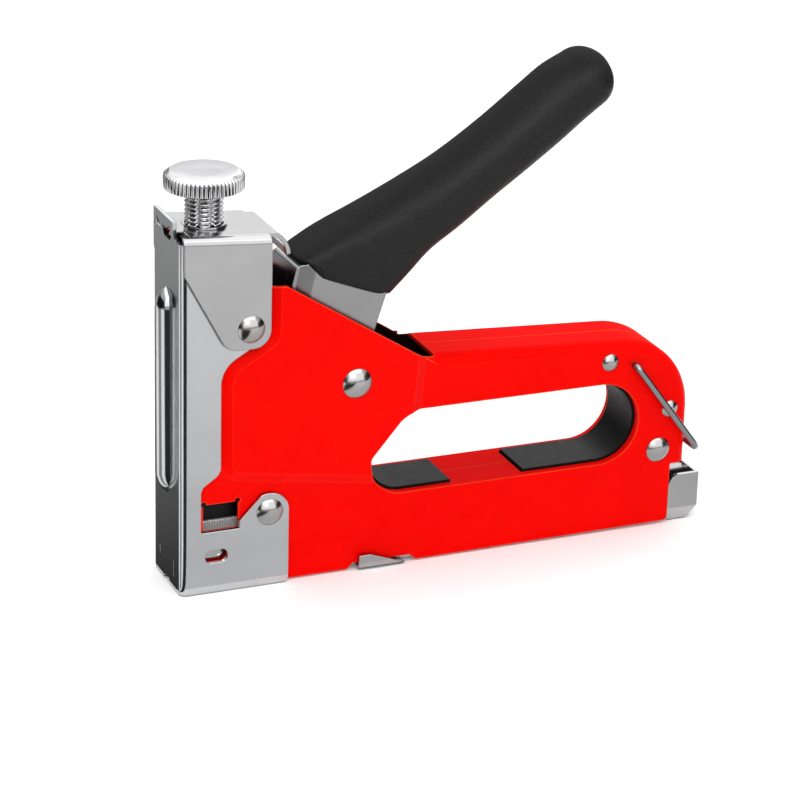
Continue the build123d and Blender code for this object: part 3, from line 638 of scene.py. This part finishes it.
# ---------------------------------------------------------------- stage, light and camera
def stage_card(name, corners, color, emission=0.0):
    """Flat card that belongs to the studio."""
    mesh = bpy.data.meshes.new(name)
    mesh.from_pydata([Vector(c) for c in corners], [], [tuple(range(len(corners)))])
    material, _, shader = new_material(name, color, 0.0, 0.9, 0.1)
    if emission:
        shader.inputs["Emission Color"].default_value = (1, 1, 1, 1)
        shader.inputs["Emission Strength"].default_value = emission
    mesh.materials.append(material)
    card = bpy.data.objects.new(name, mesh)
    bpy.context.scene.collection.objects.link(card)
    return card


def glow_along_y(card, start, end, dim, bright):
    """Emission that rises from dim to bright as the card runs back from start to end."""
    tree = card.data.materials[0].node_tree
    coord = tree.nodes.new("ShaderNodeTexCoord")
    split = tree.nodes.new("ShaderNodeSeparateXYZ")
    span = tree.nodes.new("ShaderNodeMapRange")
    span.inputs["From Min"].default_value = start
    span.inputs["From Max"].default_value = end
    span.inputs["To Min"].default_value = dim
    span.inputs["To Max"].default_value = bright
    shader = tree.nodes["Principled BSDF"]
    shader.inputs["Emission Color"].default_value = (1, 1, 1, 1)
    tree.links.new(coord.outputs["Object"], split.inputs["Vector"])
    tree.links.new(split.outputs["Y"], span.inputs["Value"])
    tree.links.new(span.outputs["Result"], shader.inputs["Emission Strength"])


def reflection_only(card):
    """The card shows in polished metal and nowhere else."""
    card.visible_camera = False
    card.visible_diffuse = False
    card.visible_shadow = False
    card.visible_transmission = False
    card.visible_volume_scatter = False


def mirror_card(name, corners, glow=0.0):
    """Black reflection-only card that may glow."""
    card = stage_card(name, corners, (0.0, 0.0, 0.0), glow)
    reflection_only(card)
    return card


def softbox(name, location, target, size, power):
    """Rectangular area light aimed at a point."""
    data = bpy.data.lights.new(name, "AREA")
    data.shape = "RECTANGLE"
    data.size, data.size_y = size
    data.energy = power
    lamp = bpy.data.objects.new(name, data)
    bpy.context.scene.collection.objects.link(lamp)
    lamp.location = location
    lamp.rotation_euler = (Vector(target) - Vector(location)).to_track_quat("-Z", "Y").to_euler()


FLOOR_COLOR, FLOOR_GLOW = (0.95, 0.95, 0.95), 0.10
stage_card("floor", ((-4, -4, 0), (4, -4, 0), (4, 4, 0), (-4, 4, 0)), FLOOR_COLOR, FLOOR_GLOW)
# cards round the foot of the nose, each a sector of the floor: the chrome mirrors them
NOSE_FOOT = Vector((-0.081, -0.010, 0.001))
SECTOR_REACH = 0.8
SECTOR_FADE = 0.26    # the glow changes over this much of Y


def sector(name, start, end, low, high):
    """Reflection-only sector of the floor between two bearings, in degrees from +Y towards -X."""
    corners = [NOSE_FOOT]
    for share in (0.0, 1 / 3, 2 / 3, 1.0):
        bearing = math.radians(start + (end - start) * share)
        away = Vector((-math.sin(bearing), math.cos(bearing), 0))
        corners.append(NOSE_FOOT + SECTOR_REACH * away)
    glow_along_y(mirror_card(name, corners), 0.0, SECTOR_FADE, low, high)


sector("front_wall_flag", -10.0, 42.0, 0.035, 0.36)
sector("bend_grey", 73.0, 103.0, 0.34, 0.34)
sector("bend_flag", 133.0, 186.0, 0.01, 0.01)
# neutral card on the floor beside the tool: the side plates mirror it
side_card = mirror_card(
    "side_card",
    ((-0.0795, -0.0126, 0.002), (0.03, -0.9, 0.002), (0.9, -0.9, 0.002), (0.30, -0.0126, 0.002)),
)
glow_along_y(side_card, -0.03, -0.23, 0.78, 1.06)


def upright_card(name, across, near, far, low, high, glow=0.0):
    """Reflection-only card that stands at X = across and runs along Y."""
    mirror_card(
        name, ((across, near, low), (across, far, low), (across, far, high), (across, near, high)),
        glow,
    )


# pale cards at both ends, for the turned and domed chrome
for side in (-1, 1):
    upright_card(f"end_card_{side + 1}", side * 1.6, -1.2, 1.2, 0.55, 2.0, 0.7)
# bright cards that the cap's folded edges mirror
for name, y, low, high, glow in (
    ("front_card", -1.5, 0.2, 2.2, 1.7), ("rear_card", 1.55, 0.7, 1.7, 1.2),
):
    mirror_card(name, ((-1.4, y, low), (2.0, y, low), (2.0, y, high), (-1.4, y, high)), glow)
# black cards near the ends, which the chrome mirrors as dark edges
for side in (-1, 1):
    upright_card(f"wing_{side + 1}", side * 0.55, -0.55, 0.45, 0.0, 0.32)

centre = Vector((0.0, 0.0, 0.06))
softbox("top_light", (0.0, 0.0, 1.6), centre, (2.6, 2.6), 40.0)
softbox("key_light", (-0.35, -1.05, 0.85), centre, (0.4, 0.4), 4.0)
softbox("rear_light", (0.62, 1.35, 0.62), centre, (0.9, 0.9), 2.6)

world = bpy.data.worlds.new("studio")
world.use_nodes = True
world.node_tree.nodes["Background"].inputs["Color"].default_value = (1, 1, 1, 1)
world.node_tree.nodes["Background"].inputs["Strength"].default_value = 0.25
bpy.context.scene.world = world
bpy.context.scene.view_settings.view_transform = "Standard"

# the camera stands where the fit to the photograph puts it
AZIMUTH, ELEVATION, ROLL = (math.radians(a) for a in (-23.19, 21.68, 1.6))
LOOK_AT = place(70.51, 0, 46.27)
DISTANCE = 881.17 * MM
LENS = 137.98
back = Vector((
    math.sin(AZIMUTH) * math.cos(ELEVATION),
    -math.cos(AZIMUTH) * math.cos(ELEVATION),
    math.sin(ELEVATION),
))
level = Vector((math.cos(AZIMUTH), math.sin(AZIMUTH), 0))
up = back.cross(level)
right = level * math.cos(ROLL) + up * math.sin(ROLL)
upright = back.cross(right)
camera_data = bpy.data.cameras.new("camera")
camera_data.lens = LENS
camera = bpy.data.objects.new("camera", camera_data)
bpy.context.scene.collection.objects.link(camera)
turn = Matrix((right, upright, back)).transposed().to_4x4()
camera.matrix_world = Matrix.Translation(LOOK_AT + back * DISTANCE) @ turn
bpy.context.scene.camera = camera
